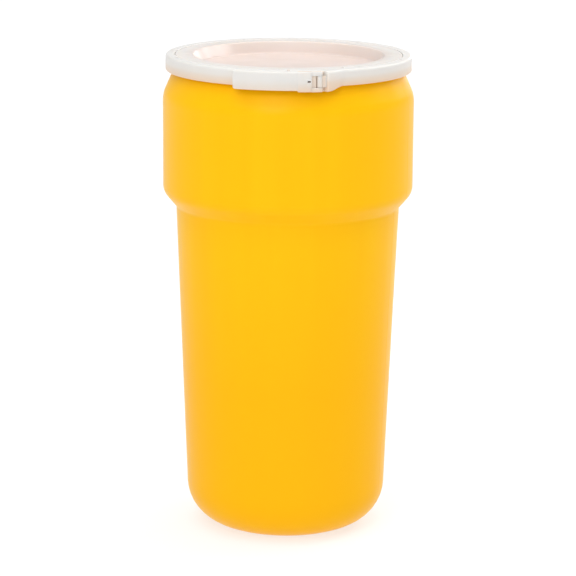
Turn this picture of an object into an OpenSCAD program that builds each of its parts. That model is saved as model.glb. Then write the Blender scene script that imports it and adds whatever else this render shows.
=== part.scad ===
// Overpack salvage drum: a tapered open-head plastic drum, a recessed lid with a gasket,
// and a split locking ring that a toggle lever pulls tight at the front.
// Origin: centre of the foot, on the floor. +Z is up and the lever faces -Y.

/* [Drum] */
// Overall height, to the top of the locking ring
drum_h = 806; // [780:1:830]
// Outer radius of the wide upper band
band_r = 210; // [208:0.5:214]
// Wall thickness of the drum
wall = 4; // [3:0.5:5]
// Height where the lower body ends and the step begins
step_z = 547; // [500:0.1:580]
// Outer radius of the lower body just under the step
step_r = 187.9; // [180:0.1:190]
// Outer radius of the lower body just above the bottom corner
low_r = 169; // [160:0.1:175]
// Radius of the rounded bottom corner
corner_r = 74; // [60:0.1:84]
// Inner radius of the ring-shaped foot
foot_in_r = 82; // [70:1:86]
// Height of the hollow under the base
push_up = 9; // [5:1:12]
// Inner radius of the mouth
mouth_r = 188.4; // [188:0.1:189]
// Outer radius of the rolled rim bead
bead_r = 198.6; // [198:0.1:199]

/* [Lid] */
// Depth of the stacking recess below the ring's top
well_depth = 19.5; // [18:0.5:25]
// Radius of the recess floor
well_floor_r = 149; // [140:1:150]
// Radius of the recess at its upper edge
well_top_r = 160; // [156:1:164]
// Thickness of the lid
lid_t = 2.8; // [2.4:0.1:3]

/* [Locking ring] */
// Outer radius of the ring
ring_r = 205.5; // [205:0.1:206]
// Height of the ring
ring_h = 26.5; // [26:0.1:27]
// Thickness of the ring's plastic
ring_t = 3; // [2.5:0.1:3.2]
// Inner radius of the ring's top lip
lip_r = 190; // [189:0.5:192]
// Inner radius of the ring's bottom lip
nose_r = 194.8; // [194:0.1:195.5]
// Angle from the lever round to each place where the band bends open
flex_angle = 142; // [130:1:150]

/* [Lever] */
// Radius of the lever's outer face
lever_r = 218; // [217:0.5:219]
// Height of the lever's grip
grip_h = 30.8; // [29:0.1:32]
// Height of the lever's thicker root
root_h = 33; // [32:0.1:35]
// Angle of the grip's free end, left of centre
grip_end = -24.7; // [-28:0.1:-22]
// Angle where the grip meets the root
root_start = 3.9; // [3:0.1:5]
// Angle where the root's face ends at the window over the hinge
root_end = 9.8; // [9.5:0.1:10.5]
// Angle of the fulcrum pin
fulcrum_angle = 13.5; // [13.2:0.1:14]
// Angle of the pin that carries the draw link
link_angle = 8.6; // [8.2:0.1:9]

/* [Hidden] */
$fn = 96;

yellow = "#f8c81e";
natural = "#f2e6dc";
white = "#efebe8";
grey = "#b9b9b4";

// Angle by which two joined arcs run into each other
lap = 0.1;
// How far a cutting shape reaches past the surface it cuts
past = 1;

// Radial reach of the slope under the base, from the foot's ring up to the push-up
foot_slope = 20;

// Rim: heights of the bead and of the neck under it, and their radii
bead_top = drum_h - 9.6;
bead_low = drum_h - 21.5;
bead_round = 2;
neck_top = drum_h - 25.5;
neck_low = drum_h - 28.2;
neck_r = 192.5;
mouth_low = neck_low + 1;

// Step between the lower body and the wide band
step_round = 27;
step_angle = 40.7;
neck_fillet = 10;
// Height of the lower body's straight run below the step's fillet
step_run = 4;
band_low_z = step_z + 39.3;
// Shoulder between the band and the rim
shoulder_round = 50;
shoulder_angle = 24;
shoulder_z = drum_h - 78;

// Lid: deck inside the ring's lip, skirt round the bead, and the rib that keeps the gasket in
deck_z = drum_h - 0.5;
rim_z = drum_h - ring_t - 0.3;
deck_edge_r = lip_r - 1.2;
deck_slope = 0.8;
well_z = drum_h - well_depth;
well_edge_round = 4;
well_floor_round = 3;
well_wall_angle = 28;
skirt_r = bead_r + 3.2;
skirt_t = 2.6;
skirt_low = drum_h - 21.2;
rib_r = 186.2;
rib_low = drum_h - 19;
groove_top = drum_h - 6.1;

// Gasket, lying on the bead
gasket_in_r = 187.2;
gasket_w = 11.2;
gasket_h = 3.3;
gasket_low = bead_top + 0.1;

// Ring section: the bottom lip's slope, and the drain holes in the top lip
lip_inner_z = drum_h - 24.4;
lip_outer_z = drum_h - 21.9;
ring_low_round = 2;
lip_round = 1;
weep_circle_r = 193.6;
weep_r = 2.4;
// Depth of the recess in the lid under each drain hole
weep_depth = 1.6;
weep_side_angle = 72;
weep_back_angle = 156;

// Latch: radii of the two pins' centres, of the pins and of the knuckles round them
fulcrum_r = 211.8;
link_r = 209.1;
pin_r = 2;
fulcrum_pin_r = 2.5;
knuckle_r = 5.2;
link_knuckle_r = 3.2;
// Radial clearance of a pin that turns, and of one that is held
pin_play = 0.06;
pin_fit = 0.02;
// Rounding of the ring's upper outer edge
ring_round = 4;
// Lever: face, inner edge, flanges of the grip, ears of the root and the grip's end wall in degrees
lever_wall = 3;
lever_in_r = ring_r + 0.7;
flange = 3;
ear = 7;
end_wall = 0.8;
// Angle by which the gap round the hinge's knuckle runs past the fulcrum
gap_reach = 3;
// How far the two pins' ends lie below the root's faces
pin_inset = 1;
// How far the root stands proud of the grip
root_proud = 0.4;
// Recessed web that joins the root's ears beside the hinge: its angles and outer face
web_start = root_end - 0.2;
web_end = 11.8;
web_r = lever_r - 2.6;
// Place of the seal slot: its angle and how far below the top
seal_angle = 8.7;
seal_drop = 16;
seal_length = 5.4;
seal_half = 1.3;
ear_gap = 0.3;
// Band of heights shared by the hinge knuckle and the link, between the lever's ears
mid_low = drum_h - root_h + ear + ear_gap;
mid_top = drum_h - ear - ear_gap;
mid = (mid_low + mid_top) / 2;

// Hook-over cleat on the ring's left end
cleat_low = -8.6;
cleat_high = -6.9;
cleat_h = 11;
cleat_out_r = 213.6;

// Draw link: its strap, and the window that drops over the cleat
link_end = -11.4;
link_out_r = 211.6;
link_low = mid_low + 0.5;
link_top = mid_top - 0.5;
window_low = cleat_low - 1;
window_high = cleat_high + 0.5;
window_h = cleat_h + 2;

// End boss on the ring's right end, just under the ring's top and the lever's face
boss_r = lever_r - 0.6;
boss_in_r = ring_r - 4;
// Height of the boss's face above the ring where it runs out
boss_runout = 0.4;
boss_drop = 0.6;
boss_start = 16.8;
boss_end = 26;
tongue_r = 214.5;
// Angle from the fulcrum to the tongue's start, clear of the pin's bore
tongue_clear = 0.8;
tongue_start = fulcrum_angle + tongue_clear;
// Slanted nose of the boss, and the lower step in front of it that narrows the hinge's gap
nose_angle = 16;
nose_out_r = 211;
step_nose_angle = 15.1;
step_nose_r = 208.4;

// Room inside the ring's outer face where the boss is cut away: its inner radius and angle past the boss
trim_r = ring_r - 20;
trim_reach = 5;

// Half of the gap between the band's two ends, in degrees
end_gap = 0.8;
// Slit at each place where the band bends open, in degrees
flex_slit = 0.06;

function polar(a, r) = [r * sin(a), -r * cos(a)];

// Points of an arc about [cx, cz], from angle a0 to a1, for a lathe outline
function arc(cx, cz, r, a0, a1, n = 10) =
    [for (i = [0:n]) let (a = a0 + (a1 - a0) * i / n) [cx + r * cos(a), cz + r * sin(a)]];

// Turns an outline [radius, height] about Z from angle a0 to a1, both counted from -Y
module sweep(a0, a1) {
    rotate([0, 0, a0 - 90]) rotate_extrude(angle = a1 - a0, $fn = 180) children();
}

module ring_block(a0, a1, r0, r1, z0, z1) {
    sweep(a0, a1) translate([r0, z0]) square([r1 - r0, z1 - z0]);
}

module post(a, r, radius, z0, z1) {
    translate([polar(a, r)[0], polar(a, r)[1], z0]) cylinder(r = radius, h = z1 - z0);
}

// Outer outline of the drum, moved inwards by d: from the foot up to the neck
function drum_side(d) = concat(
    arc(low_r - corner_r, corner_r, corner_r - d, -90, 0, 14),
    [[step_r - d, step_z - step_run]],
    arc(step_r - d + neck_fillet, step_z, neck_fillet, 180, 180 - step_angle, 4),
    arc(band_r - step_round, band_low_z, step_round - d, -step_angle, 0, 6),
    arc(band_r - shoulder_round, shoulder_z, shoulder_round - d, 0, shoulder_angle, 6));

module drum_body() {
    outer = concat(
        [[0, push_up], [foot_in_r - foot_slope, push_up], [foot_in_r, 0]],
        drum_side(0),
        [[neck_r, neck_low], [neck_r, neck_top], [bead_r, bead_low]],
        arc(bead_r - bead_round, bead_top - bead_round, bead_round, 0, 90, 4),
        arc(mouth_r + bead_round, bead_top - bead_round, bead_round, 90, 180, 4),
        [[mouth_r, mouth_low]]);
    side = drum_side(wall);
    inner = concat(
        [for (i = [len(side) - 1:-1:0]) side[i]],
        [[foot_in_r, wall], [foot_in_r - foot_slope, push_up + wall], [0, push_up + wall]]);
    color(yellow) rotate_extrude($fn = 180) polygon(concat(outer, inner));
}

module lid() {
    steep = 180 - well_wall_angle;
    edge_z = deck_z - well_edge_round;
    floor_z = well_z + well_floor_round;
    outline = concat(
        [[0, well_z]],
        arc(well_floor_r - well_floor_round, floor_z, well_floor_round, -90, -well_wall_angle, 4),
        arc(well_top_r + well_edge_round, edge_z, well_edge_round, steep, 90, 5),
        [[deck_edge_r, deck_z], [deck_edge_r + deck_slope, rim_z]],
        arc(skirt_r - 2, rim_z - 2, 2, 90, 0, 4),
        [[skirt_r, skirt_low], [skirt_r - skirt_t, skirt_low], [skirt_r - skirt_t, groove_top]],
        [[rib_r, groove_top], [rib_r, rib_low], [rib_r - skirt_t, rib_low]],
        [[rib_r - skirt_t, deck_z - lid_t]],
        arc(well_top_r + well_edge_round, edge_z, well_edge_round - lid_t, 90, steep, 3),
        arc(well_floor_r - well_floor_round, floor_z, well_floor_round + lid_t, -well_wall_angle, -90, 4),
        [[0, well_z - lid_t]]);
    color(natural) difference() {
        rotate_extrude($fn = 180) polygon(outline);
        for (a = [-weep_back_angle, -weep_side_angle, weep_side_angle, weep_back_angle])
            post(a, weep_circle_r, weep_r, rim_z - weep_depth, rim_z + past);
    }
}

module lid_gasket() {
    color(grey) rotate_extrude($fn = 180) translate([gasket_in_r, gasket_low]) square([gasket_w, gasket_h]);
}

// Everything inside the ring's outer face, which the boss is cut back to
module ring_outside() {
    polygon(concat(
        [[trim_r, drum_h], [trim_r, drum_h - root_h - past]],
        [[ring_r, drum_h - root_h - past]],
        arc(ring_r - ring_round, drum_h - ring_round, ring_round, 0, 90, 5)));
}

// Cross-section of the ring: top lip, wall and a sloped bottom lip that grips under the bead
module ring_section() {
    in_r = ring_r - ring_t;
    low = drum_h - ring_h;
    polygon(concat(
        arc(ring_r - ring_round, drum_h - ring_round, ring_round, 90, 0, 5),
        arc(ring_r - ring_low_round, low + ring_low_round, ring_low_round, 0, -90, 3),
        [[nose_r, low], [nose_r, lip_inner_z], [bead_r, lip_outer_z], [in_r, lip_outer_z]],
        [[in_r, drum_h - ring_t], [lip_r, drum_h - ring_t]],
        arc(lip_r + lip_round, drum_h - lip_round, lip_round, 180, 90, 3)));
}

// Small drain holes through the ring's top lip
module weep_hole(a) {
    post(a, weep_circle_r, weep_r, drum_h - ring_t - past, drum_h + past);
}

module ring_band_rear() {
    color(white) difference() {
        sweep(flex_angle + flex_slit, 360 - flex_angle - flex_slit) ring_section();
        weep_hole(weep_back_angle);
        weep_hole(-weep_back_angle);
    }
}

module ring_band_left() {
    color(white) difference() {
        sweep(-flex_angle, -end_gap) ring_section();
        weep_hole(-weep_side_angle);
    }
}

module ring_band_right() {
    color(white) difference() {
        sweep(end_gap, flex_angle) ring_section();
        weep_hole(weep_side_angle);
    }
}

// Post on the ring's left end that the draw link hooks over
module anchor_cleat() {
    half = cleat_h / 2;
    color(white) ring_block(cleat_low, cleat_high, ring_r, cleat_out_r, mid - half, mid + half);
}

// Thin radial slice of the boss, a share f of the way from its full face down to the ring
module boss_slice(f) {
    fall = (1 - cos(180 * f)) / 2;
    face = boss_r + (ring_r + boss_runout - boss_r) * fall;
    low = drum_h - root_h + (root_h - ring_h) * fall;
    a = boss_start + (boss_end - boss_start) * f;
    ring_block(a, a + lap, boss_in_r, face, low, drum_h - boss_drop);
}

// Upright block of the boss's height, out to a slanted front between two angles
module slanted_block(a0, r0, a1, r1) {
    translate([0, 0, drum_h - root_h]) linear_extrude(root_h - boss_drop)
        polygon([polar(a0, boss_in_r), polar(a0, r0), polar(a1, r1), polar(a1, boss_in_r)]);
}

module hinge_boss() {
    steps = 5;
    color(white) difference() {
        union() {
            for (i = [0:steps - 1])
                hull() {
                    boss_slice(i / steps);
                    boss_slice((i + 1) / steps);
                }
            slanted_block(nose_angle, nose_out_r, boss_start + lap / 2, boss_r - lap);
            slanted_block(step_nose_angle, step_nose_r, nose_angle + lap, nose_out_r - lap);
            ring_block(tongue_start, boss_start + lap, ring_r - 1, tongue_r, mid_low, mid_top);
            post(fulcrum_angle, fulcrum_r, knuckle_r, mid_low, mid_top);
        }
        post(fulcrum_angle, fulcrum_r, fulcrum_pin_r + pin_fit, mid_low - past, mid_top + past);
        sweep(fulcrum_angle - trim_reach, boss_end + trim_reach) ring_outside();
    }
}

module fulcrum_pin() {
    low = drum_h - root_h + pin_inset;
    color(grey) post(fulcrum_angle, fulcrum_r, fulcrum_pin_r, low, drum_h - pin_inset);
}

// Rounded slot through the lever's face for a wire or strap seal
module seal_slot() {
    straight = seal_length - 2 * seal_half;
    rotate([0, 0, seal_angle]) translate([-straight / 2, -lever_r - past, drum_h - seal_drop])
        rotate([-90, 0, 0]) linear_extrude(lever_wall + 2 * past) union() {
            circle(r = seal_half);
            translate([straight, 0]) circle(r = seal_half);
            translate([0, -seal_half]) square([straight, 2 * seal_half]);
        }
}

// Channel with a thin-walled grip and, beside the fulcrum, a root with two thick ears
module lever() {
    root_low = drum_h - root_h;
    grip_low = drum_h - grip_h;
    hollow_r = lever_in_r - past;
    wall_r = lever_r - lever_wall;
    grip_r = lever_r - root_proud;
    color(white) difference() {
        union() {
            ring_block(grip_end, root_start + lap, lever_in_r, grip_r, grip_low, drum_h - root_proud);
            ring_block(root_start, root_end, lever_in_r, lever_r, root_low, drum_h);
            ring_block(root_end - lap, fulcrum_angle, lever_in_r, fulcrum_r + knuckle_r, root_low, drum_h);
            post(fulcrum_angle, fulcrum_r, knuckle_r, root_low, drum_h);
        }
        // Hollows of the grip and the root, recess over the web, and the gap round the hinge's knuckle
        ring_block(grip_end + end_wall, root_start, hollow_r, wall_r, grip_low + flange, drum_h - flange);
        ring_block(root_start - lap, web_start, hollow_r, wall_r, root_low + ear, drum_h - ear);
        ring_block(root_end, web_end + lap, web_r, lever_r + past, root_low + ear, drum_h - ear);
        ring_block(web_end, fulcrum_angle + gap_reach, hollow_r, lever_r + past, root_low + ear, drum_h - ear);
        post(fulcrum_angle, fulcrum_r, fulcrum_pin_r + pin_play, root_low - past, drum_h + past);
        post(link_angle, link_r, pin_r + pin_fit, root_low + pin_inset, drum_h - pin_inset);
        seal_slot();
    }
}

module link_pin() {
    color(grey) post(link_angle, link_r, pin_r, drum_h - root_h + pin_inset, drum_h - pin_inset);
}

// Strap from the link pin to a window that drops over the cleat
module draw_link() {
    color(white) difference() {
        union() {
            ring_block(link_end, link_angle, lever_in_r, link_out_r, link_low, link_top);
            post(link_angle, link_r, link_knuckle_r, link_low, link_top);
        }
        ring_block(window_low, window_high, ring_r, lever_r, mid - window_h / 2, mid + window_h / 2);
        post(link_angle, link_r, pin_r + pin_play, mid_low, mid_top);
    }
}

drum_body();
lid();
lid_gasket();
ring_band_rear();
ring_band_left();
ring_band_right();
anchor_cleat();
hinge_boss();
fulcrum_pin();
lever();
link_pin();
draw_link();
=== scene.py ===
"""Looks for the overpack salvage drum: yellow tapered body, natural lid and white lever-lock ring.

Outlines are in millimetres, as [radius, height] about the drum's axis, and become metres where a
mesh is made. Angles are counted from the front (-Y), positive towards +X, in degrees.
"""

import math

import bmesh
import bpy
from mathutils import Matrix, Vector


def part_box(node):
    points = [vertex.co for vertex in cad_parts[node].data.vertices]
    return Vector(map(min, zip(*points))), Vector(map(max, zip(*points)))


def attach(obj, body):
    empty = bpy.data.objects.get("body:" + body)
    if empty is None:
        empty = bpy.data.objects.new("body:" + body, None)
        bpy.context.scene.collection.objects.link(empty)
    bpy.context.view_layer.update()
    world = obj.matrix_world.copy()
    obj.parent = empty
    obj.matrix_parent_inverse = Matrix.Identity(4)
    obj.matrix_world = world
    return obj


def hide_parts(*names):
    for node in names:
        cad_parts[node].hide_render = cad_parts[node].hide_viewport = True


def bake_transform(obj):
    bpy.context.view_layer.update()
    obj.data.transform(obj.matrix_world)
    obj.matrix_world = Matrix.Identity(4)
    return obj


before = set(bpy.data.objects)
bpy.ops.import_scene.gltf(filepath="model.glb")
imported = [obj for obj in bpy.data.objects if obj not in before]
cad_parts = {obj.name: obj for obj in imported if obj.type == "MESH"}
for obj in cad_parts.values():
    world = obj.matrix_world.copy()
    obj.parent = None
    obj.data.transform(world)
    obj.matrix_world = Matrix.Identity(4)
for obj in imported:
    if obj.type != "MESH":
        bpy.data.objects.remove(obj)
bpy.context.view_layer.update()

MM = 0.001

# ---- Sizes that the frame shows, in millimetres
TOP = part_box("ring_band_left")[1].z / MM
BAND_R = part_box("drum_body")[1].x / MM
RING_R = -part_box("ring_band_left")[0].x / MM
LEVER_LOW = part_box("lever")[0].z / MM
SKIRT_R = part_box("lid")[1].x / MM

# ---- Mesh finish
SHARP_EDGE = math.radians(32.0)
MERGE = 0.004 * MM
DEGENERATE = 0.002 * MM

# ---- Drum
WALL = 4.0
PUSH_UP = 9.0
PUSH_UP_R = 60
FOOT_IN_R = 82.5
CORNER_R = 74.0
LOW_R = 168.95
STEP_R = 187.9
STEP_Z = 550.7
BAND_LOW_Z = 576.3
SHOULDER_Z = TOP - 67.4
NECK_R = 192.5
NECK_Z = TOP - 28.1
NECK_TOP = TOP - 25.5
BEAD_R = 198.6
BEAD_LOW = TOP - 21.5
BEAD_TOP = TOP - 9.6
MOUTH_R = 188.4
MOUTH_LOW = TOP - 28.5

# ---- Parting lines of the drum's mould, and the unevenness of its wall
PARTING = (71.0, -109.0)
RIDGE_H = 0.28
RIDGE_HALF = 0.9
PINCH_DEPTH = 0.9
PINCH_HALF = 1.1
PINCH_REACH = 70
WAVE_DEPTH = 0.16
WAVE_PEAK = 2.35

# ---- Locking ring
RING_H = 26.5
RING_T = 3.0
LIP_R = 190.0
NOSE_R = 194.8
NOSE_TOP = TOP - 24.4
SEAT_TOP = TOP - 21.9
END_GAP = 0.8
WEEP_R = 193.6
WEEP_HOLE = 2.4
WEEPS = (72.0, 156.0)

# ---- Lid
LID_T = 2.8
DECK_Z = TOP - 0.5
DECK_IN_R = 160
WELL_Z = TOP - 19.5
WELL_R = 149.5
RIM_Z = TOP - RING_T - 0.3
RECESS_DEPTH = 1.6
SKIRT_T = 2.6
SKIRT_LOW = TOP - 21.2
GROOVE_TOP = TOP - 6.1
RIB_IN_R = 183.6
RIB_OUT_R = 186.2
RIB_LOW = TOP - 19
MARK_R = 170
MARK_ANGLES = (-86, 86, -30, 30, 150, -150)
MARK_REACH = 5
MARK_EDGE = 2.5
MARK_DEPTH = 0.45

# ---- Gasket
GASKET_IN_R = 187.2
GASKET_OUT_R = 198.4
GASKET_LOW = TOP - 9.5
GASKET_TOP = TOP - 6.2
GASKET_ROUND = 1.2

# ---- Lever
ROOT_H = TOP - LEVER_LOW
GRIP_H = 30.8
GRIP_INSET = 0.4
GRIP_END = -24.7
CURL_OUT = 3.2
CURL_TOP = 1.2
CURL_LOW = 4.5
LEVER_R = 218.0
LEVER_WALL = 3.0
LEVER_IN_R = RING_R + 0.7
ROOT_START = 3.9
ROOT_END = 9.8
ROOT_BLEND = 0.7
WEB_END = 11.8
WEB_R = LEVER_R - 2.6
EAR = 7.0
MID_LOW = TOP - ROOT_H + EAR + 0.3
MID_TOP = TOP - EAR - 0.3
SEAL = (8.7, TOP - 16)
SEAL_HALF_W = 1.3
SEAL_LENGTH = 5.4

# ---- Pins, as (angle, radius), and what turns on them
FULCRUM = (13.5, 211.8)
FULCRUM_PIN_R = 2.5
TONGUE_BORE_R = 2.54
LEVER_BORE_R = 2.56
KNUCKLE_R = 5.2
TONGUE_RISE = 2.7
LINK_PIN = (8.6, 209.1)
LINK_PIN_R = 2.0
LINK_EYE_R = 3.2
LINK_OUT_R = 211.6
LINK_START = -11.4
WINDOW_START = -9.6
WINDOW_END = -6.4
WINDOW_HALF_H = 6.5
CLEAT_SPAN = (-8.6, -6.9)
CLEAT_OUT_R = 213.6
CLEAT_HALF_H = 5.5

# ---- Hinge boss: the angles its bulge runs between, its nose and the step before it
BOSS = (16.8, 26.0)
BOSS_R = LEVER_R - 0.6
BOSS_BULGE = 0.96
BOSS_DROP = 0.03
NOSE = (16.0, 211.0)
STEP_NOSE = (15.1, 208.4)


# =============================================================== outlines

def arc(cx, cz, r, a0, a1, n):
    """Points of an arc, both ends included."""
    step = (a1 - a0) / n
    return [(cx + r * math.cos(math.radians(a0 + step * i)),
             cz + r * math.sin(math.radians(a0 + step * i))) for i in range(n + 1)]


def rounded(corners, closed=False, n=6):
    """Outline through corners (x, z, fillet radius), each corner turned into an arc of n pieces."""
    count = len(corners)
    points = [Vector(corner[:2]) for corner in corners]
    halves, wanted = [], []
    for i, (*_, radius) in enumerate(corners):
        flat = radius <= 0 or (not closed and i in (0, count - 1))
        before, after = points[i - 1] - points[i], points[(i + 1) % count] - points[i]
        halves.append(math.pi / 2 if flat else before.angle(after) / 2)
        wanted.append(0.0 if flat else radius / math.tan(halves[i]))
    out = []
    for i, here in enumerate(points):
        if wanted[i] <= 0:
            out.append(tuple(here))
            continue
        runs = [points[i - 1] - here, points[(i + 1) % count] - here]
        neighbours = (wanted[i - 1], wanted[(i + 1) % count])
        room = [run.length / (wanted[i] + other) for run, other in zip(runs, neighbours)]
        reach = wanted[i] * min(1.0, *room)
        radius = reach * math.tan(halves[i])
        before, after = runs[0].normalized(), runs[1].normalized()
        start, end = here + before * reach, here + after * reach
        centre = here + (before + after).normalized() * (radius / math.sin(halves[i]))
        a0 = math.atan2(start.y - centre.y, start.x - centre.x)
        a1 = math.atan2(end.y - centre.y, end.x - centre.x)
        turn = (a1 - a0 + math.pi) % (2 * math.pi) - math.pi
        out += arc(centre.x, centre.y, radius, math.degrees(a0), math.degrees(a0 + turn), n)
    return out


def inset(corners, depth):
    """The same corners moved sideways by depth, to the left of the way they run."""
    moved = []
    for i, (x, z, radius) in enumerate(corners):
        here = Vector((x, z))
        runs = []
        if i > 0:
            runs.append((here - Vector(corners[i - 1][:2])).normalized())
        if i < len(corners) - 1:
            runs.append((Vector(corners[i + 1][:2]) - here).normalized())
        sides = [Vector((-run.y, run.x)) for run in runs]
        both = sides[0] + sides[-1]
        shift = both * (depth / (1 + sides[0].dot(sides[-1]))) if len(sides) > 1 else sides[0] * depth
        left_turn = len(runs) > 1 and runs[0].cross(runs[-1]) > 0
        new_radius = max(radius - depth, 0.5) if left_turn else radius + depth
        moved.append((x + shift.x, z + shift.y, new_radius if radius > 0 else 0))
    return moved


def dense(points, gap):
    """Adds points along straight runs, so that no two are further apart than gap."""
    out = [points[0]]
    for p, q in zip(points, points[1:]):
        n = max(1, math.ceil(math.dist(p, q) / gap))
        out += [(p[0] + (q[0] - p[0]) * i / n, p[1] + (q[1] - p[1]) * i / n) for i in range(1, n + 1)]
    return out


def polar(angle, radius):
    """Plan position of an angle from the front and a radius."""
    return radius * math.sin(math.radians(angle)), -radius * math.cos(math.radians(angle))


def circle(centre, radius):
    """Closed outline of 32 points round a centre."""
    turns = [t * math.pi / 16 for t in range(32)]
    return [(centre[0] + radius * math.cos(turn), centre[1] + radius * math.sin(turn)) for turn in turns]


def apart(first, second):
    """Degrees between two angles, the short way round."""
    return abs((first - second + 180) % 360 - 180)


def smooth(t):
    """Eases from 0 at t = 0 to 1 at t = 1, and stays level outside."""
    t = min(max(t, 0.0), 1.0)
    return t * t * (3 - 2 * t)


# =============================================================== meshes

def finished(name, mesh, material):
    """Object of a mesh: doubles merged, faces turned outwards, smooth but for its sharp edges."""
    bm = bmesh.new()
    bm.from_mesh(mesh)
    bmesh.ops.remove_doubles(bm, verts=bm.verts, dist=MERGE)
    bmesh.ops.dissolve_degenerate(bm, edges=bm.edges, dist=DEGENERATE)
    bmesh.ops.recalc_face_normals(bm, faces=bm.faces)
    for face in bm.faces:
        face.smooth = True
    for edge in bm.edges:
        edge.smooth = len(edge.link_faces) == 2 and edge.calc_face_angle(0) < SHARP_EDGE
    bm.to_mesh(mesh)
    bm.free()
    obj = bpy.data.objects.new(name, mesh)
    bpy.context.scene.collection.objects.link(obj)
    mesh.materials.clear()
    mesh.materials.append(material)
    return obj


def skin(name, sections, material, ring=False):
    """Skins closed outlines, in millimetres, into a solid: capped, or a closed ring."""
    size = len(sections[0])
    verts = [Vector(p) * MM for section in sections for p in section]
    faces = []
    last = len(sections) if ring else len(sections) - 1
    for i in range(last):
        a, b = i * size, ((i + 1) % len(sections)) * size
        faces += [(a + j, a + (j + 1) % size, b + (j + 1) % size, b + j) for j in range(size)]
    if not ring:
        faces += [tuple(range(size)), tuple(range(last * size, (last + 1) * size))]
    mesh = bpy.data.meshes.new(name)
    mesh.from_pydata(verts, [], faces)
    return finished(name, mesh, material)


def turned(outline, angle, push=None):
    """One section of a turned solid; push(angle, r, z) moves each point by (outwards, up)."""
    out = []
    for r, z in outline:
        outwards, up = push(angle, r, z) if push else (0, 0)
        x, y = polar(angle, r + outwards)
        out.append((x, y, z + up))
    return out


def lathe(name, outline, angles, material, push=None):
    """Full turn of an open outline whose ends lie on the axis, or of a closed one clear of it."""
    on_axis = abs(outline[0][0]) < 1e-6
    sections = [turned(outline, a, push) for a in angles]
    size = len(outline)
    verts = [Vector(p) * MM for section in sections for p in section]
    faces = []
    for i in range(len(sections)):
        a, b = i * size, ((i + 1) % len(sections)) * size
        span = size - 1 if on_axis else size
        faces += [(a + j, a + (j + 1) % size, b + (j + 1) % size, b + j) for j in range(span)]
    mesh = bpy.data.meshes.new(name)
    mesh.from_pydata(verts, [], faces)
    return finished(name, mesh, material)


def pin(name, place, radius, low, high, material):
    """Upright pin with rounded edges, at an (angle, radius) place."""
    outline = rounded([(0, low, 0), (radius, low, 0.5), (radius, high, 0.5), (0, high, 0)], n=3)
    obj = lathe(name, outline, [i * 360 / 48 for i in range(48)], material)
    x, y = polar(*place)
    for vert in obj.data.vertices:
        vert.co += Vector((x, y, 0)) * MM
    return obj


def applied(obj):
    """Mesh of an object as its modifiers or its curve settings leave it."""
    return bpy.data.meshes.new_from_object(obj.evaluated_get(bpy.context.evaluated_depsgraph_get()))


def plate(name, outline, low, high, edge, material, holes=()):
    """Flat solid of a plan outline, with edges rounded by edge; each hole is another closed outline."""
    curve = bpy.data.curves.new(name + "_outline", "CURVE")
    curve.dimensions = "2D"
    curve.fill_mode = "BOTH"
    for loop in [outline, *holes]:
        spline = curve.splines.new("POLY")
        spline.points.add(len(loop) - 1)
        for point, (x, y) in zip(spline.points, loop):
            point.co = (x * MM, y * MM, 0, 1)
        spline.use_cyclic_u = True
    curve.extrude = ((high - low) / 2 - edge) * MM
    curve.bevel_depth = edge * MM
    curve.bevel_resolution = 3
    curve.offset = -edge * MM
    source = bpy.data.objects.new(name + "_source", curve)
    bpy.context.scene.collection.objects.link(source)
    bpy.context.view_layer.update()
    mesh = applied(source)
    bpy.data.objects.remove(source)
    for vert in mesh.vertices:
        vert.co.z += (low + high) / 2 * MM
    return finished(name, mesh, material)


def joined(name, parts):
    """One object of several, which keep their own closed shells."""
    bm = bmesh.new()
    for part in parts:
        bm.from_mesh(part.data)
    mesh = bpy.data.meshes.new(name)
    bm.to_mesh(mesh)
    bm.free()
    mesh.materials.append(parts[0].data.materials[0])
    for part in parts:
        bpy.data.objects.remove(part)
    obj = bpy.data.objects.new(name, mesh)
    bpy.context.scene.collection.objects.link(obj)
    return obj


def cut(obj, tools):
    """Takes the tool solids out of obj for good."""
    for tool in tools:
        step = obj.modifiers.new("cut", "BOOLEAN")
        step.object = tool
        step.solver = "EXACT"
    bpy.context.view_layer.update()
    mesh = applied(obj)
    name, material = obj.name, obj.data.materials[0]
    for old in [obj, *tools]:
        bpy.data.objects.remove(old)
    return finished(name, mesh, material)


# =============================================================== materials

def shader(name):
    """New material, its node tree and its main shader."""
    material = bpy.data.materials.new(name)
    material.use_nodes = True
    return material, material.node_tree, material.node_tree.nodes["Principled BSDF"]


def noise(tree, scale, stretch=(1, 1, 1), detail=3.0, roughness=0.55):
    """Noise over the object's own coordinates; a small stretch value draws it out along that axis."""
    where = tree.nodes.new("ShaderNodeTexCoord")
    mapping = tree.nodes.new("ShaderNodeMapping")
    mapping.inputs["Scale"].default_value = stretch
    texture = tree.nodes.new("ShaderNodeTexNoise")
    texture.inputs["Scale"].default_value = scale
    texture.inputs["Detail"].default_value = detail
    texture.inputs["Roughness"].default_value = roughness
    tree.links.new(where.outputs["Object"], mapping.inputs["Vector"])
    tree.links.new(mapping.outputs["Vector"], texture.inputs["Vector"])
    return texture.outputs["Fac"]


def spread(tree, value, low, high, start=0.3, end=0.7):
    """Maps a value from start..end onto low..high."""
    node = tree.nodes.new("ShaderNodeMapRange")
    node.inputs["From Min"].default_value = start
    node.inputs["From Max"].default_value = end
    node.inputs["To Min"].default_value = low
    node.inputs["To Max"].default_value = high
    tree.links.new(value, node.inputs["Value"])
    return node.outputs["Result"]


def mixed(tree, factor, first, second):
    """Colour between two, each a colour or another node's output."""
    node = tree.nodes.new("ShaderNodeMix")
    node.data_type = "RGBA"
    tree.links.new(factor, node.inputs["Factor"])
    for socket, colour in ((node.inputs["A"], first), (node.inputs["B"], second)):
        if isinstance(colour, tuple):
            socket.default_value = (*colour, 1)
        else:
            tree.links.new(colour, socket)
    return node.outputs["Result"]


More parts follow.
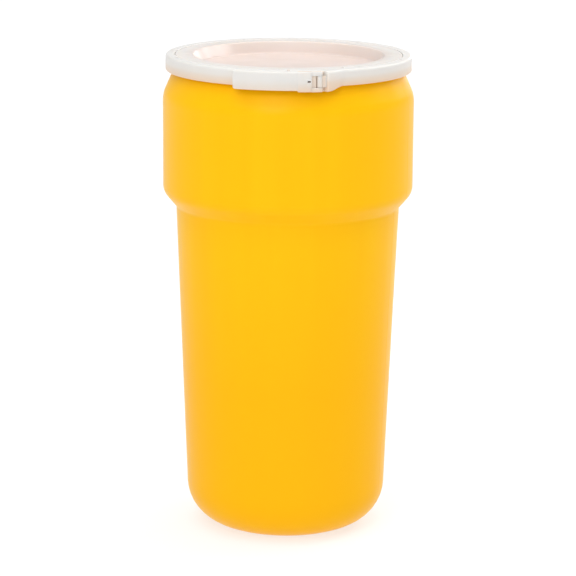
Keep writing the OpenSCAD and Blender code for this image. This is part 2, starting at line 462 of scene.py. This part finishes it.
def with_hole_shade(tree, tone):
    """Darkens a colour where the mesh's attribute says so: painted shade in the drain holes and the recesses
    under them.
    """
    hole_shade = tree.nodes.new("ShaderNodeAttribute")
    hole_shade.attribute_name = "hole_shade"
    # painted shade: a dark colour that stands in for shadow inside the drain holes
    return mixed(tree, hole_shade.outputs["Fac"], tone, (0.22, 0.19, 0.16))


def bump(tree, height, distance, strength, onto=None):
    """Raises a surface by a height, on top of another bump if there is one."""
    node = tree.nodes.new("ShaderNodeBump")
    node.inputs["Distance"].default_value = distance
    node.inputs["Strength"].default_value = strength
    tree.links.new(height, node.inputs["Height"])
    if onto is not None:
        tree.links.new(onto, node.inputs["Normal"])
    return node.outputs["Normal"]


def yellow_polyethylene():
    """Blow-moulded yellow plastic: faint upright streaks, soft orange peel, duller scuffs, and painted shade
    that makes it darker and more orange towards the bottom.
    """
    material, tree, main = shader("yellow_polyethylene")
    streaks = noise(tree, 1.0, (26, 26, 0.9), 4.0)
    clouds = noise(tree, 3.5, (1, 1, 0.6), 3.0)
    peel = noise(tree, 420.0, (1, 1, 1), 2.0)
    scuffs = noise(tree, 38.0, (1, 1, 2.2), 6.0, 0.7)
    tone = mixed(tree, spread(tree, streaks, 0.0, 1.0), (0.955, 0.485, 0.001), (0.965, 0.51, 0.002))
    tone = mixed(tree, spread(tree, clouds, 0.0, 0.5), tone, (0.97, 0.52, 0.003))
    height = tree.nodes.new("ShaderNodeSeparateXYZ")
    where = tree.nodes.new("ShaderNodeTexCoord")
    tree.links.new(where.outputs["Object"], height.inputs["Vector"])
    # painted shade: the lower body is made darker and more orange, as if lit from above
    painted_low_shade = spread(tree, height.outputs["Z"], 0.75, 0.0, 0.25, 0.5)
    tone = mixed(tree, painted_low_shade, tone, (0.95, 0.455, 0.001))
    tree.links.new(tone, main.inputs["Base Color"])
    tree.links.new(spread(tree, scuffs, 0.30, 0.34, 0.35, 0.75), main.inputs["Roughness"])
    main.inputs["Specular IOR Level"].default_value = 0.08
    ripple = bump(tree, streaks, 0.0016, 0.25)
    tree.links.new(bump(tree, peel, 0.00012, 0.35, ripple), main.inputs["Normal"])
    main.inputs["IOR"].default_value = 1.52
    main.inputs["Subsurface Weight"].default_value = 0.12
    main.inputs["Subsurface Radius"].default_value = (1.0, 0.55, 0.08)
    main.inputs["Subsurface Scale"].default_value = 0.006
    return material


def natural_polyethylene():
    """Unpigmented plastic of the lid: milky, with the stacking recess painted darker and warmer than the
    deck, as painted shade and yellow glow from the drum inside.
    """
    material, tree, main = shader("natural_polyethylene")
    where = tree.nodes.new("ShaderNodeTexCoord")
    flat = tree.nodes.new("ShaderNodeVectorMath")
    flat.operation = "MULTIPLY"
    flat.inputs[1].default_value = (1, 1, 0)
    tree.links.new(where.outputs["Object"], flat.inputs[0])
    length = tree.nodes.new("ShaderNodeVectorMath")
    length.operation = "LENGTH"
    tree.links.new(flat.outputs["Vector"], length.inputs[0])
    rim = spread(tree, length.outputs["Value"], 0.0, 1.0, 0.152, 0.176)
    clouds = noise(tree, 9.0, (1, 1, 1), 3.0)
    grain = noise(tree, 350.0, (1, 1, 1), 2.0)
    # painted shade and yellow glow: inside the rim mask the stacking recess gets a darker, warmer tone
    inner = mixed(tree, spread(tree, clouds, 0.0, 1.0), (0.763, 0.621, 0.553), (0.782, 0.644, 0.592))
    outer = mixed(tree, spread(tree, clouds, 0.0, 1.0), (0.82, 0.755, 0.70), (0.84, 0.78, 0.735))
    # painted shade in the drain-hole recesses, laid over the tone
    tree.links.new(with_hole_shade(tree, mixed(tree, rim, inner, outer)), main.inputs["Base Color"])
    tree.links.new(spread(tree, clouds, 0.2, 0.28), main.inputs["Roughness"])
    tree.links.new(bump(tree, grain, 0.00006, 0.2), main.inputs["Normal"])
    main.inputs["IOR"].default_value = 1.52
    main.inputs["Subsurface Weight"].default_value = 0.35
    main.inputs["Subsurface Radius"].default_value = (1.0, 0.8, 0.6)
    main.inputs["Subsurface Scale"].default_value = 0.008
    return material


def white_polyethylene():
    """Moulded white plastic of the ring and lever: satin, with a fine grain and faint flow clouds, painted
    yellow bounce light and painted shade in the drain holes.
    """
    material, tree, main = shader("white_polyethylene")
    clouds = noise(tree, 14.0, (1, 1, 1), 4.0)
    flow = noise(tree, 30.0, (1, 1, 0.25), 4.0)
    grain = noise(tree, 400.0, (1, 1, 1), 2.0)
    tone = mixed(tree, spread(tree, clouds, 0.0, 1.0), (0.71, 0.685, 0.65), (0.74, 0.715, 0.68))
    tone = mixed(tree, spread(tree, flow, 0.0, 0.4), tone, (0.76, 0.74, 0.715))
    bounce = tree.nodes.new("ShaderNodeAttribute")
    bounce.attribute_name = "painted_bounce"
    # painted light: a warm, slightly darker tone where yellow light would bounce up from the drum
    tone = mixed(tree, bounce.outputs["Fac"], tone, (0.74, 0.57, 0.43))
    # painted shade in the drain holes, laid over the tone
    tree.links.new(with_hole_shade(tree, tone), main.inputs["Base Color"])
    tree.links.new(spread(tree, flow, 0.34, 0.46), main.inputs["Roughness"])
    tree.links.new(bump(tree, grain, 0.00005, 0.3), main.inputs["Normal"])
    main.inputs["IOR"].default_value = 1.5
    main.inputs["Subsurface Weight"].default_value = 0.6
    main.inputs["Subsurface Radius"].default_value = (1.0, 0.9, 0.8)
    main.inputs["Subsurface Scale"].default_value = 0.006
    return material


def gasket_foam():
    """Closed-cell foam: matt grey with fine pores."""
    material, tree, main = shader("gasket_foam")
    pores = noise(tree, 1500.0, (1, 1, 1), 3.0)
    tone = mixed(tree, spread(tree, pores, 0.0, 1.0), (0.22, 0.22, 0.21), (0.34, 0.34, 0.33))
    tree.links.new(tone, main.inputs["Base Color"])
    tree.links.new(spread(tree, pores, 0.75, 0.95), main.inputs["Roughness"])
    tree.links.new(bump(tree, pores, 0.0002, 0.6), main.inputs["Normal"])
    return material


def pin_plastic():
    """Smooth hard plastic of the two pins, with faint turning marks along their length."""
    material, tree, main = shader("pin_plastic")
    marks = noise(tree, 60.0, (1, 1, 14), 3.0)
    tone = mixed(tree, spread(tree, marks, 0.0, 1.0), (0.55, 0.55, 0.53), (0.66, 0.66, 0.64))
    tree.links.new(tone, main.inputs["Base Color"])
    tree.links.new(spread(tree, marks, 0.25, 0.38), main.inputs["Roughness"])
    tree.links.new(bump(tree, marks, 0.00004, 0.3), main.inputs["Normal"])
    return material


# =============================================================== pieces

def drum_push(angle, radius, z):
    """Slight unevenness of a blow-moulded wall, the thin ridge where the mould halves met, and its pinch
    across the base. WAVE_PEAK is all the waves' heights together, so the waves only move the wall inwards.
    """
    body = smooth((z - 20) / 80) * smooth((TOP - 40 - z) / 60)
    turn = math.radians(angle)
    wave = math.sin(2 * turn + 0.8 + z * 0.004) + 0.6 * math.sin(3 * turn + 2.1 - z * 0.007)
    wave += 0.4 * math.sin(5 * turn + z * 0.012) + 0.35 * math.sin(z * 0.021 + 2 * math.sin(turn))
    away = min(apart(angle, parting) for parting in PARTING) * math.radians(1) * radius
    ridge = RIDGE_H * math.exp(-(away / RIDGE_HALF) ** 2)
    on_base = z < PUSH_UP + 1 and radius < PINCH_REACH
    pinch = -PINCH_DEPTH * math.exp(-(away / PINCH_HALF) ** 2) if on_base else 0
    return body * (WAVE_DEPTH * (wave - WAVE_PEAK) + ridge), pinch


def drum_body(material):
    """Tapered shell with its upper band, neck and rim bead, open at the mouth."""
    taper = (STEP_R - LOW_R) / (STEP_Z - CORNER_R)
    foot_corner = LOW_R - taper * CORNER_R
    base_middle = (0, PUSH_UP, 0)
    shell = [
        (PUSH_UP_R, PUSH_UP, 12), (FOOT_IN_R, 0, 8), (foot_corner, 0, CORNER_R), (STEP_R, STEP_Z, 10),
        (BAND_R, BAND_LOW_Z, 27), (BAND_R, SHOULDER_Z, 50), (NECK_R, NECK_Z, 2)]
    outer = [base_middle, *shell, (NECK_R, NECK_TOP, 1), (BEAD_R, BEAD_LOW, 1.5),
             (BEAD_R, BEAD_TOP, 2), (MOUTH_R, BEAD_TOP, 2)]
    past_neck = (NECK_R, TOP - 20, 0)
    side = inset([base_middle, *shell, past_neck], WALL)[:-2]
    mouth = (MOUTH_R, MOUTH_LOW, 4)
    outline = rounded([*outer, mouth, *reversed(side)], n=10)
    steps = (-0.9, -0.6, -0.4, -0.25, -0.12, 0, 0.12, 0.25, 0.4, 0.6, 0.9)
    near = [parting + step for parting in PARTING for step in steps]
    plain = [i * 1.25 for i in range(288)]
    clear = [a for a in plain if min(apart(a, n) for n in near) > 0.3]
    angles = sorted([n % 360 for n in near] + clear)
    body = lathe("drum_shell", dense(outline, 9.0), angles, material, drum_push)
    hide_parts("drum_body")
    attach(body, "drum")


def lid(material):
    """Disc with its stacking recess, skirt, inner rib and the blind recesses under the drain holes."""
    lip_gap = LIP_R - 0.4
    skirt_in_r = SKIRT_R - SKIRT_T
    top = [
        (0, WELL_Z, 0), (WELL_R, WELL_Z, 5), (DECK_IN_R, DECK_Z, 3.5), (LIP_R - 1.2, DECK_Z, 0.6),
        (lip_gap, RIM_Z, 0.6), (SKIRT_R, RIM_Z, 2), (SKIRT_R, SKIRT_LOW, 0.8), (skirt_in_r, SKIRT_LOW, 0.8)]
    under = [
        (skirt_in_r, GROOVE_TOP, 0.5), (RIB_OUT_R, GROOVE_TOP, 0.5), (RIB_OUT_R, RIB_LOW, 0.8),
        (RIB_IN_R, RIB_LOW, 0.8), (RIB_IN_R, DECK_Z - LID_T, 1), (DECK_IN_R + 1.5, DECK_Z - LID_T, 2.5),
        (WELL_R + 2, WELL_Z - LID_T, 6), (0, WELL_Z - LID_T, 0)]
    outline = dense(rounded(top + under, n=7), 4.0)
    obj = lathe("lid_shell", outline, list(range(360)), material)
    tools = [pin(f"recess_{i}", (a, WEEP_R), WEEP_HOLE, RIM_Z - RECESS_DEPTH, RIM_Z + 3, material)
             for i, a in enumerate([*WEEPS, *(-a for a in WEEPS)])]
    obj = cut(obj, tools)
    for angle in MARK_ANGLES:
        press(obj, angle, MARK_R)
    # painted shade in the blind recesses under the drain holes
    paint_hole_shade(obj, RIM_Z)
    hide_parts("lid")
    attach(obj, "lid")


def press(obj, angle, radius):
    """Shallow round mark of an ejector pin in the lid's deck."""
    x, y = polar(angle, radius)
    centre = Vector((x, y, DECK_Z)) * MM
    for vert in obj.data.vertices:
        off = (vert.co - centre).length / MM
        if off < MARK_REACH:
            vert.co.z -= MARK_DEPTH * smooth((MARK_REACH - off) / MARK_EDGE) * MM


def lid_gasket(material):
    """Flat ring in the groove between the lid's rib and skirt."""
    places = [(GASKET_IN_R, GASKET_LOW), (GASKET_OUT_R, GASKET_LOW),
              (GASKET_OUT_R, GASKET_TOP), (GASKET_IN_R, GASKET_TOP)]
    ring = rounded([(*place, GASKET_ROUND) for place in places], True, 4)
    obj = lathe("lid_gasket_ring", ring, [i * 2 for i in range(180)], material)
    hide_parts("lid_gasket")
    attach(obj, "lid")


def ring_outline(bulge, drop):
    """The band's section; bulge and drop run from 0, the plain band, to 1, the full hinge boss."""
    low = TOP - RING_H
    out_r = RING_R + (BOSS_R - RING_R) * bulge
    out_low = low - BOSS_DROP - (ROOT_H - RING_H) * drop
    back_r = RING_R - 3 + 2.6 * drop
    inner_r = RING_R - RING_T
    mid = (TOP + out_low) / 2
    return rounded([
        (LIP_R, TOP, 1), (out_r - 0.5, TOP - 0.6 * bulge, 4 - bulge), (out_r, mid, 60),
        (out_r - 0.5, out_low, 2.2), (back_r, out_low, 0), (back_r, low, 0), (NOSE_R, low, 0.8),
        (NOSE_R, NOSE_TOP, 0.5), (BEAD_R, SEAT_TOP, 0.5), (inner_r, SEAT_TOP, 0.6),
        (inner_r, TOP - RING_T, 1), (LIP_R, TOP - RING_T, 0.8)], True, 6)


def boss_shape(angle):
    """How far the band bulges outwards and drops below its edge at an angle, from 0 to 1 each."""
    start, end = BOSS
    fall = (1 + math.cos(math.pi * min(1.0, max(0.0, (angle - start) / (end - start))))) / 2
    if angle < NOSE[0]:
        return 0.0, 0.0
    if angle < start:
        nose = (NOSE[1] - RING_R) / (BOSS_R - RING_R)
        lean = (angle - NOSE[0]) / (start - NOSE[0])
        return nose + (BOSS_BULGE - nose) * lean, 1.0
    edge = BOSS_BULGE + 0.04 * smooth((angle - start) / 0.3)
    return fall * edge, fall


def ring_half(name, sign, material, nodes):
    """Half of the springy band, from its end at the front to the back."""
    angles = {END_GAP, END_GAP + 0.15, 180.0} | {float(a) for a in range(2, 180)}
    if sign > 0:
        start, end = BOSS
        angles |= {NOSE[0] - 0.01, NOSE[0], NOSE[0] + 0.1}
        angles |= {start - 0.05, start, start + 0.1, start + 0.2, start + 0.3}
        angles |= {start + (end - start) * i / 24 for i in range(2, 25)}
    shapes = {a: boss_shape(a) if sign > 0 else (0.0, 0.0) for a in angles}
    band = skin(name, [turned(ring_outline(*shapes[a]), sign * a) for a in sorted(angles)], material)
    drills = [pin(f"{name}_weep_{i}", (sign * a, WEEP_R), WEEP_HOLE, TOP - 8, TOP + 4, material)
              for i, a in enumerate(WEEPS)]
    band = cut(band, drills)
    # painted bounce light and shade, warmer and darker towards the band's lower edge
    paint_bounce(band, lambda x, y, z: smooth((TOP - 7 - z) / 17))
    # painted shade on the walls of the drain holes
    paint_hole_shade(band, TOP)
    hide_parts(*nodes)
    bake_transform(band)


def paint_bounce(obj, share):
    """Keeps on each point how much painted bounce light from the drum's yellow it gets there, warmer and a
    little darker.
    """
    layer = obj.data.attributes.new("painted_bounce", "FLOAT", "POINT")
    for vert, item in zip(obj.data.vertices, layer.data):
        item.value = share(*(vert.co / MM))


def paint_hole_shade(obj, top):
    """Keeps on each point how dark the painted shade in the drain holes is there, below the surface they open
    in.
    """
    layer = obj.data.attributes.new("hole_shade", "FLOAT", "POINT")
    places = [polar(sign * a, WEEP_R) for a in WEEPS for sign in (-1, 1)]
    for vert, item in zip(obj.data.vertices, layer.data):
        x, y, z = vert.co / MM
        near = min(math.dist((x, y), place) for place in places) < WEEP_HOLE + 0.2
        item.value = 0.9 if near and z < top - 0.3 else 0.0


def lever_painted_bounce(x, y, z):
    """Painted bounce light from the yellow drum on the lever and its neighbours: more towards the bottom, and
    all over the recess by the hinge.
    """
    low = 0.5 * smooth((TOP - 12 - z) / 18) + 0.5 * smooth((TOP - ROOT_H + 4.5 - z) / 3)
    angle = math.degrees(math.atan2(x, -y))
    hidden = math.hypot(x, y) < WEB_R + 0.05 and ROOT_START < angle < NOSE[0]
    return max(low, 0.6) if hidden else low


def hinge_tongue(material):
    """Tongue from the boss to the knuckle round the fulcrum pin, with its bore, and the step by the nose."""
    angle, radius = FULCRUM
    cx, cy = polar(angle, radius)
    root = BOSS[0] + 0.3
    first = math.degrees(math.asin(TONGUE_RISE / KNUCKLE_R))
    out_r = radius + TONGUE_RISE
    reach = math.degrees(math.sqrt(KNUCKLE_R ** 2 - TONGUE_RISE ** 2) / out_r)
    span = root - (angle + reach)
    outer = [polar(root - span * i / 8, out_r) for i in range(9)]
    turns = [first + (270 - first) * i / 28 for i in range(1, 28)]
    knuckle = [(cx + KNUCKLE_R * math.cos(math.radians(angle - turn)),
                cy - KNUCKLE_R * math.sin(math.radians(turn - angle))) for turn in turns]
    inner = [polar(angle + (root - angle) * i / 8, radius - KNUCKLE_R) for i in range(9)]
    bore = circle((cx, cy), TONGUE_BORE_R)
    tongue = plate("tongue", outer + knuckle + inner, MID_LOW, MID_TOP, 0.6, material, [bore])
    nose_angle, nose_r, back_r = NOSE[0] + 0.2, NOSE[1] - 0.2, RING_R - 0.3
    corners = [(STEP_NOSE[0], back_r), STEP_NOSE, (nose_angle, nose_r), (nose_angle, back_r)]
    step = plate("step", [polar(*corner) for corner in corners], TOP - ROOT_H, TOP - 0.6, 0.4, material)
    obj = joined("hinge_tongue", [tongue, step])
    # painted bounce light from the yellow drum, strongest low down and in the recess by the hinge
    paint_bounce(obj, lever_painted_bounce)
    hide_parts("hinge_boss")
    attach(obj, "ring_right")


def anchor_cleat(material):
    """Catch on the band's left end."""
    mid = (MID_LOW + MID_TOP) / 2
    first, last = CLEAT_SPAN
    span = [first + (last - first) * i / 4 for i in range(5)]
    outline = [polar(a, RING_R - 0.6) for a in span] + [polar(a, CLEAT_OUT_R) for a in reversed(span)]
    obj = plate("anchor_catch", outline, mid - CLEAT_HALF_H, mid + CLEAT_HALF_H, 0.5, material)
    # painted bounce light from the yellow drum, strongest low down and in the recess by the hinge
    paint_bounce(obj, lever_painted_bounce)
    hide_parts("anchor_cleat")
    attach(obj, "ring_left")


def lever_outline(angle):
    """The lever's channel section: solid at its free end, thin along the grip, thick at the root."""
    root = smooth((angle - ROOT_START + 0.35) / ROOT_BLEND)
    nose = min(1.0, (angle - GRIP_END) / 1.3)
    curl = 1 - math.sqrt(1 - (1 - nose) ** 2)
    out_r = LEVER_R - GRIP_INSET + GRIP_INSET * root - CURL_OUT * curl
    top = TOP - GRIP_INSET + GRIP_INSET * root - CURL_TOP * curl
    low = TOP - GRIP_H - (ROOT_H - GRIP_H) * root + CURL_LOW * curl
    flange = EAR if angle > ROOT_START else LEVER_WALL
    wall_r = LEVER_R - LEVER_WALL if angle > GRIP_END + 0.8 else LEVER_IN_R + 0.05
    return rounded([
        (LEVER_IN_R, top, 0.8), (out_r - 0.6, top, 2.4), (out_r, (top + low) / 2, 60),
        (out_r - 0.6, low, 2.4), (LEVER_IN_R, low, 0.8), (LEVER_IN_R, low + flange, 0.5),
        (wall_r, low + flange, 0.8), (wall_r, top - flange, 0.8),
        (LEVER_IN_R, top - flange, 0.5)], True, 5)


def seal_cutter(material):
    """Rounded slot cutter, set upright across the lever's face."""
    half, straight = SEAL_HALF_W, SEAL_LENGTH / 2 - SEAL_HALF_W
    outline = arc(straight, 0, half, -90, 90, 8) + arc(-straight, 0, half, 90, 270, 8)
    cutter = plate("seal_cutter", outline, -6, 6, 0.1, material)
    x, y = polar(SEAL[0], LEVER_R)
    turn = math.radians(SEAL[0])
    for vert in cutter.data.vertices:
        along, up, depth = vert.co
        vert.co = Vector((x * MM + along * math.cos(turn) + depth * math.sin(turn),
                          y * MM + along * math.sin(turn) - depth * math.cos(turn), SEAL[1] * MM + up))
    return cutter


def lever_ears(material):
    """The two ears that run from the root to the fulcrum pin, each with the pin's bore."""
    angle, radius = FULCRUM
    cx, cy = polar(angle, radius)
    count, out_r = 8, LEVER_R - 0.1
    outer = [(ROOT_END + (angle - ROOT_END) * i / count,
              out_r + (radius + KNUCKLE_R - LEVER_R + 0.1) * smooth(i / count)) for i in range(count)]
    inner = [(angle + (ROOT_END - angle) * i / count,
              radius - KNUCKLE_R + (LEVER_IN_R - radius + KNUCKLE_R) * smooth(i / count))
             for i in range(1, count + 1)]
    turns = [math.radians(angle - 90 + 180 * i / 24) for i in range(25)]
    eye = [(cx + KNUCKLE_R * math.cos(turn), cy + KNUCKLE_R * math.sin(turn)) for turn in turns]
    outline = [polar(*place) for place in outer] + eye + [polar(*place) for place in inner]
    bore = circle((cx, cy), LEVER_BORE_R)
    return [plate("ear_low", outline, TOP - ROOT_H, TOP - ROOT_H + EAR, 0.7, material, [bore]),
            plate("ear_top", outline, TOP - EAR, TOP, 0.7, material, [bore])]


def lever_web(material):
    """Recessed plate that joins the ears behind the lever's end."""
    start = ROOT_END - 0.2
    span = [start + (WEB_END - ROOT_END + 0.2) * i / 4 for i in range(5)]
    outline = [polar(a, LEVER_IN_R + 0.05) for a in span] + [polar(a, WEB_R) for a in reversed(span)]
    return plate("web", outline, TOP - ROOT_H + EAR - 0.6, TOP - EAR + 0.6, 0.4, material)


def lever(material):
    """Channel with a seal slot through its root, two ears round the fulcrum pin and the web between them."""
    start, end = GRIP_END, ROOT_END
    nose_end = start + 1.3
    angles = {start + step for step in (0.0, 0.06, 0.15, 0.3, 0.5, 0.79, 0.81, 1.05, 1.3)}
    angles |= {ROOT_START - 0.01, ROOT_START + 0.01}
    angles |= {ROOT_START - 0.35 + 0.1 * i for i in range(8)}
    angles |= {nose_end + (end - start - 1.3) * i / 44 for i in range(45)}
    channel = skin("channel", [turned(lever_outline(a), a) for a in sorted(angles)], material)
    channel = cut(channel, [seal_cutter(material)])
    obj = joined("toggle_lever", [channel, *lever_ears(material), lever_web(material)])
    # painted bounce light from the yellow drum, strongest low down and in the recess by the hinge
    paint_bounce(obj, lever_painted_bounce)
    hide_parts("lever")
    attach(obj, "lever")


def draw_link(material):
    """Strap with a window at one end, bent round the ring, and an eye for the link pin."""
    thick = LINK_OUT_R - LEVER_IN_R
    mid_r = (LEVER_IN_R + LINK_OUT_R) / 2
    per_degree = math.radians(1) * mid_r
    low, high = MID_LOW + 0.5, MID_TOP - 0.5
    left, right = LINK_START * per_degree, LINK_PIN[0] * per_degree
    outline = rounded([(left, low, 2.5), (right, low, 0.5), (right, high, 0.5), (left, high, 2.5)], True, 4)
    mid = (low + high) / 2
    near, far = WINDOW_START * per_degree, WINDOW_END * per_degree
    under, over = mid - WINDOW_HALF_H, mid + WINDOW_HALF_H
    window = [(near, under), (far, under), (far, over), (near, over)]
    strap = plate("strap", outline, -thick / 2, thick / 2, 0.5, material, [window])
    bm = bmesh.new()
    bm.from_mesh(strap.data)
    cuts = 30
    for i in range(1, cuts):
        x = (left + (right - left) * i / cuts) * MM
        everything = [*bm.verts, *bm.edges, *bm.faces]
        bmesh.ops.bisect_plane(bm, geom=everything, plane_co=(x, 0, 0), plane_no=(1, 0, 0))
    for vert in bm.verts:
        along, up, depth = vert.co / MM
        x, y = polar(along / per_degree, mid_r + depth)
        vert.co = Vector((x, y, up)) * MM
    bm.to_mesh(strap.data)
    bm.free()
    eye = pin("eye", LINK_PIN, LINK_EYE_R, low, high, material)
    obj = joined("draw_strap", [strap, eye])
    # painted bounce light from the yellow drum, strongest low down and in the recess by the hinge
    paint_bounce(obj, lever_painted_bounce)
    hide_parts("draw_link")
    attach(obj, "link")


def pins(material):
    """The fulcrum pin, held by the boss, and the link pin, held by the lever."""
    low, high = TOP - ROOT_H + 1, TOP - 1
    for name, place, radius, node, body in (
            ("fulcrum_pin_shaft", FULCRUM, FULCRUM_PIN_R, "fulcrum_pin", "ring_right"),
            ("link_pin_shaft", LINK_PIN, LINK_PIN_R, "link_pin", "lever")):
        obj = pin(name, place, radius, low, high, material)
        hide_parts(node)
        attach(obj, body)


# =============================================================== stage

def place_lamp(name, light, place, aim=(0, 0, 0)):
    """Lamp at a place in metres, turned to shine at its aim."""
    lamp = bpy.data.objects.new(name, light)
    lamp.location = place
    lamp.rotation_euler = (lamp.location - Vector(aim)).to_track_quat("Z", "Y").to_euler()
    bpy.context.scene.collection.objects.link(lamp)


def lamps():
    """Two wide suns from the front and above, and soft panels in front, at the right and behind."""
    for name, place, degrees, power in (
            ("high_key", (-1.0, -2.5, 3.4), 60.0, 0.7),
            ("overhead", (0.3, 0.6, 3.4), 80.0, 1.15)):
        light = bpy.data.lights.new(name, "SUN")
        light.angle = math.radians(degrees)
        light.energy = power
        place_lamp(name, light, place)
    upper_body = (0, 0, 0.7)
    for name, place, size, power in (
            ("key", (-0.6, -2.5, 1.9), (0.9, 1.2), 14.0),
            ("side", (2.38, 0.76, 2.32), (1.1, 1.1), 14.0),
            ("side_back", (1.8, 1.6, 1.56), (0.9, 0.9), 7.0),
            ("rear", (0.98, 2.3, 1.03), (0.8, 0.6), 3.5)):
        light = bpy.data.lights.new(name, "AREA")
        light.shape = "RECTANGLE"
        light.size, light.size_y = size
        light.energy = power
        place_lamp(name, light, place, upper_body)


def stage():
    """Pale floor a little under the drum's foot, white surroundings and the lamps."""
    mesh = bpy.data.meshes.new("floor")
    half, level = 30.0, -0.2 * MM
    corners = [(-half, -half, level), (half, -half, level), (half, half, level), (-half, half, level)]
    mesh.from_pydata(corners, [], [(0, 1, 2, 3)])
    floor = bpy.data.objects.new("floor", mesh)
    bpy.context.scene.collection.objects.link(floor)
    material, tree, main = shader("floor_paper")
    fibres = noise(tree, 40.0, (1, 1, 1), 4.0)
    tree.links.new(mixed(tree, fibres, (0.33, 0.33, 0.33), (0.35, 0.35, 0.35)), main.inputs["Base Color"])
    main.inputs["Roughness"].default_value = 0.9
    main.inputs["Specular IOR Level"].default_value = 0.1
    main.inputs["Emission Color"].default_value = (1, 1, 1, 1)
    main.inputs["Emission Strength"].default_value = 0.67
    mesh.materials.append(material)

    world = bpy.data.worlds.new("studio")
    world.use_nodes = True
    background = world.node_tree.nodes["Background"]
    background.inputs["Color"].default_value = (1, 1, 1, 1)
    background.inputs["Strength"].default_value = 0.58
    bpy.context.scene.world = world
    lamps()


def camera():
    """Long lens in front of the drum and a little above it, tilted down, as in the photo."""
    data = bpy.data.cameras.new("camera")
    data.sensor_width = 36.0
    data.lens = 174.3
    data.clip_end = 200.0
    obj = bpy.data.objects.new("camera", data)
    aside, distance, height, pitch, roll = 0.0018, 4.62, 1.4366, 12.58, 0.46
    look = Matrix.Rotation(math.radians(90 - pitch), 4, "X") @ Matrix.Rotation(math.radians(roll), 4, "Z")
    obj.matrix_world = Matrix.Translation((aside, -distance, height)) @ look
    bpy.context.scene.collection.objects.link(obj)
    bpy.context.scene.camera = obj


def build():
    """Makes every piece, then the stage and the camera."""
    yellow, natural, white = yellow_polyethylene(), natural_polyethylene(), white_polyethylene()
    grey = pin_plastic()
    drum_body(yellow)
    lid(natural)
    lid_gasket(gasket_foam())
    ring_half("ring_half_left", -1, white, ["ring_band_left", "ring_band_rear"])
    ring_half("ring_half_right", 1, white, ["ring_band_right", "hinge_boss", "ring_band_rear"])
    hinge_tongue(white)
    anchor_cleat(white)
    lever(white)
    draw_link(white)
    pins(grey)
    stage()
    camera()


build()
bpy.context.scene.view_settings.view_transform = "Standard"
